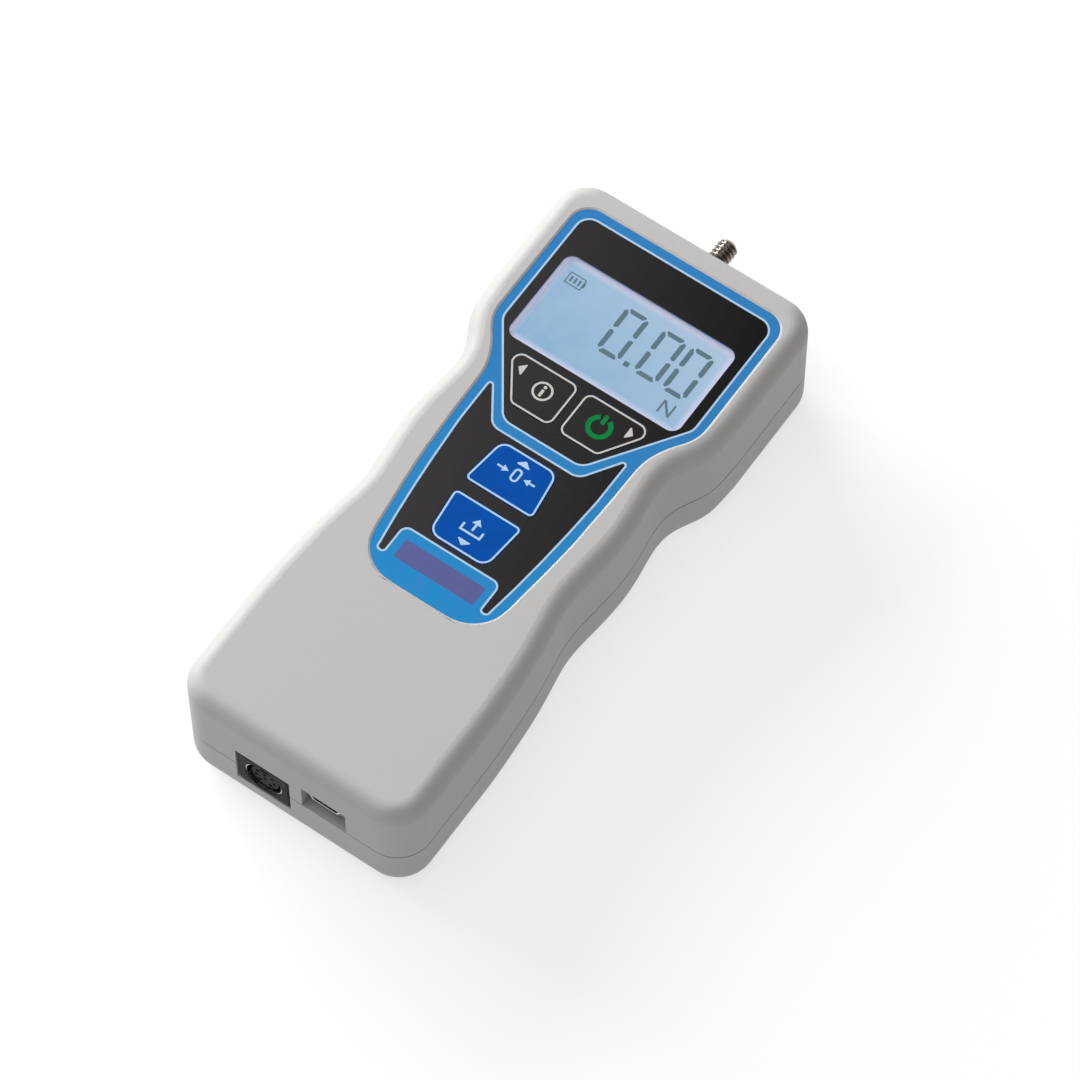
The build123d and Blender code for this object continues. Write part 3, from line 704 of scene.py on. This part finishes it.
def sunk(shapes, dx=-0.31, dy=0.43):
    """Shapes seen through the window, moved for their depth."""
    return [tuple([(x + dx, y + dy) for x, y in loop] for loop in shape)
            for shape in shapes]


def digit_zero(xl, xr):
    """Six bars of a seven-bar nought, between the outer edges xl and xr."""
    w = 1.15
    bars = []
    for x, s in ((xl, 1), (xr, -1)):
        a, b = x, x + s * w
        bars.append([(a, 47.25), (a + s * 0.5, 46.95), (b, 47.4), (b, 51.2),
                     (a + s * 0.55, 52.15), (a, 51.75)])
        bars.append([(a, 45.95), (a + s * 0.5, 46.25), (b, 45.8), (b, 41.9),
                     (a + s * 0.55, 40.95), (a, 41.35)])
    bars.append([(xl + 0.85, 52.4), (xl + 1.15, 52.7), (xr - 1.15, 52.7),
                 (xr - 0.85, 52.4), (xr - 1.5, 51.6), (xl + 1.5, 51.6)])
    bars.append([(xl + 0.85, 40.5), (xl + 1.15, 40.2), (xr - 1.15, 40.2),
                 (xr - 0.85, 40.5), (xr - 1.5, 41.3), (xl + 1.5, 41.3)])
    return [(rounded(ccw(b), [0.12] * len(b), 0.05),) for b in bars]


SZ0, SZ1 = Z_GLASS + 0.018, Z_GLASS + 0.034
slab("lcd_digit_units", sunk(digit_zero(-3.95, 2.1)), SZ0, SZ1, "housing",
     M_SEGMENT)
slab("lcd_digit_tenths", sunk(digit_zero(5.65, 11.75)), SZ0, SZ1, "housing",
     M_SEGMENT)
slab("lcd_digit_hundredths", sunk(digit_zero(12.95, 18.85)), SZ0, SZ1, "housing",
     M_SEGMENT)
slab("lcd_point", sunk([(bar(3.15, 4.45, 40.25, 41.5, 0.3),)]), SZ0, SZ1, "housing",
     M_SEGMENT)
slab("lcd_unit",
     sunk([(ccw([(15.35, 35.1), (15.8, 35.1), (15.8, 37.75), (17.9, 35.1),
            (18.45, 35.1), (18.45, 38.5), (18.0, 38.5), (18.0, 35.85),
            (15.9, 38.5), (15.35, 38.5)]),)]),
     SZ0, SZ1, "housing", M_SEGMENT)
batt = bar(-18.75, -14.6, 50.0, 53.0, 0.2)
slab("lcd_battery_sign",
     sunk([(batt, bar(-18.5, -14.85, 50.25, 52.75, 0.08))]
          + [(bar(x - 0.24, x + 0.24, 50.75, 52.25, 0.04),)
             for x in (-17.72, -16.68, -15.63)]
          + [(bar(-14.66, -14.25, 50.9, 52.1, 0.08),)]),
     SZ0, SZ1, "housing", M_SEGMENT)


# ----------------------------------------------- shaft with its real thread
def shaft_rings():
    rings = []

    def plain(y, r, flat=None):
        rings.append((y, lambda a, r=r, flat=flat: (
            r if flat is None or abs(r * math.cos(a)) < flat
            else flat / abs(math.cos(a)))))

    for y, r in ((38.12, 2.85), (38.3, 2.99), (60.2, 2.99), (60.2, 3.5),
                 (60.5, 3.79), (62.0, 3.79)):
        plain(y, r)
    plain(62.001, 3.79, 3.3)
    plain(65.999, 3.79, 3.3)
    for y, r in ((66.0, 3.79), (74.0, 3.79), (81.25, 3.79), (81.48, 3.72),
                 (81.64, 3.56), (81.7, 3.36), (81.7, 1.96)):
        plain(y, r)
    root, crest, pitch = 1.855, 2.41, 1.058
    y = 81.75
    while y < 87.59:
        def r_at(a, y=y):
            ph = ((y - 81.95) / pitch - a / (2 * math.pi)) % 1.0
            h = min(1.0, max(0.0, (0.5 - abs(ph - 0.5) - 0.04) / 0.38))
            run_in = min(1.0, max(0.0, (y - 81.8) / 0.7))
            r = root + (crest - root) * h * run_in
            return min(r, 2.41 - max(0.0, y - 86.7) * 0.95)
        rings.append((y, r_at))
        y += 0.045
    rings.append((87.59, lambda a: 1.45))
    return rings


def shaft_mesh(k=96):
    verts, faces = [(0.0, 38.12, 14.0)], []
    rings = shaft_rings()
    for y, r_at in rings:
        for i in range(k):
            a = 2 * math.pi * i / k
            r = r_at(a)
            verts.append((r * math.cos(a), y, 14.0 + r * math.sin(a)))
    for i in range(k):
        faces.append((0, 1 + i, 1 + (i + 1) % k))
    for q in range(len(rings) - 1):
        a, b = 1 + q * k, 1 + (q + 1) * k
        for i in range(k):
            j = (i + 1) % k
            faces.append((a + i, b + i, b + j, a + j))
    last = 1 + (len(rings) - 1) * k
    verts.append((0.0, 87.52, 14.0))
    for i in range(k):
        faces.append((last + (i + 1) % k, last + i, len(verts) - 1))
    return verts, faces


v, f = shaft_mesh()
shaft = make("measuring_shaft_threaded", v, f, "shaft", M_SHAFT,
             smooth=True)
split = shaft.modifiers.new("edges", "EDGE_SPLIT")
split.split_angle = math.radians(38)
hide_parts("measuring_shaft")

# ------------------------------------------------------------ stage, camera
n = Nodes("studio_floor")
n.set(Base_Color=n.mix(n.noise(3.0, 2.0), (0.29, 0.29, 0.29, 1.0),
                       (0.30, 0.30, 0.30, 1.0)),
      Roughness=0.9, Specular_IOR_Level=0.1,
      Emission_Color=(1.0, 1.0, 1.0, 1.0), Emission_Strength=0.68)
me = bpy.data.meshes.new("studio_floor")
s = 4.0
me.from_pydata([(-s, -s, -0.0002), (s, -s, -0.0002), (s, s, -0.0002),
                (-s, s, -0.0002)], [], [(0, 1, 2, 3)])
me.materials.append(n.m)
floor = bpy.data.objects.new("studio_floor", me)
bpy.context.scene.collection.objects.link(floor)

world = bpy.data.worlds.new("studio")
bpy.context.scene.world = world
world.use_nodes = True
bg = world.node_tree.nodes["Background"]
bg.inputs["Color"].default_value = (1.0, 1.0, 1.0, 1.0)
bg.inputs["Strength"].default_value = 0.17


def area_light(name, place, aim, size, power, colour=(1.0, 1.0, 1.0)):
    data = bpy.data.lights.new(name, "AREA")
    data.shape = "RECTANGLE"
    data.size, data.size_y = size
    data.energy = power
    data.color = colour
    ob = bpy.data.objects.new(name, data)
    bpy.context.scene.collection.objects.link(ob)
    ob.location = place
    ob.rotation_euler = (Vector(aim) - Vector(place)).to_track_quat(
        "-Z", "Y").to_euler()
    return ob


area_light("key_left", (-1.25, 0.38, 0.62), (0, 0, 0.02), (1.3, 0.7), 38.0)
area_light("fill_top", (-0.12, -0.30, 1.6), (0, 0, 0), (1.3, 1.3), 13.5)

ROWS = ((0.81982, 0.57261, -0.00221), (0.50466, -0.72435, -0.46971),
        (-0.27056, 0.38397, -0.88282))
shift = Vector((-8.675, 5.639, 1230.4)) * MM
rot = Matrix(ROWS)
loc = -(rot.transposed() @ shift)
data = bpy.data.cameras.new("camera")
data.sensor_width = 36.0
data.lens = 5745.2 / 1080.0 * 36.0
data.clip_start, data.clip_end = 0.05, 20.0
cam = bpy.data.objects.new("camera", data)
bpy.context.scene.collection.objects.link(cam)
right, up, back = Vector(ROWS[0]), -Vector(ROWS[1]), -Vector(ROWS[2])
basis = Matrix((right, up, back)).transposed().to_4x4()
cam.matrix_world = Matrix.Translation(loc) @ basis
bpy.context.scene.camera = cam
bpy.context.scene.view_settings.view_transform = "Standard"
bpy.context.scene.view_settings.look = "None"
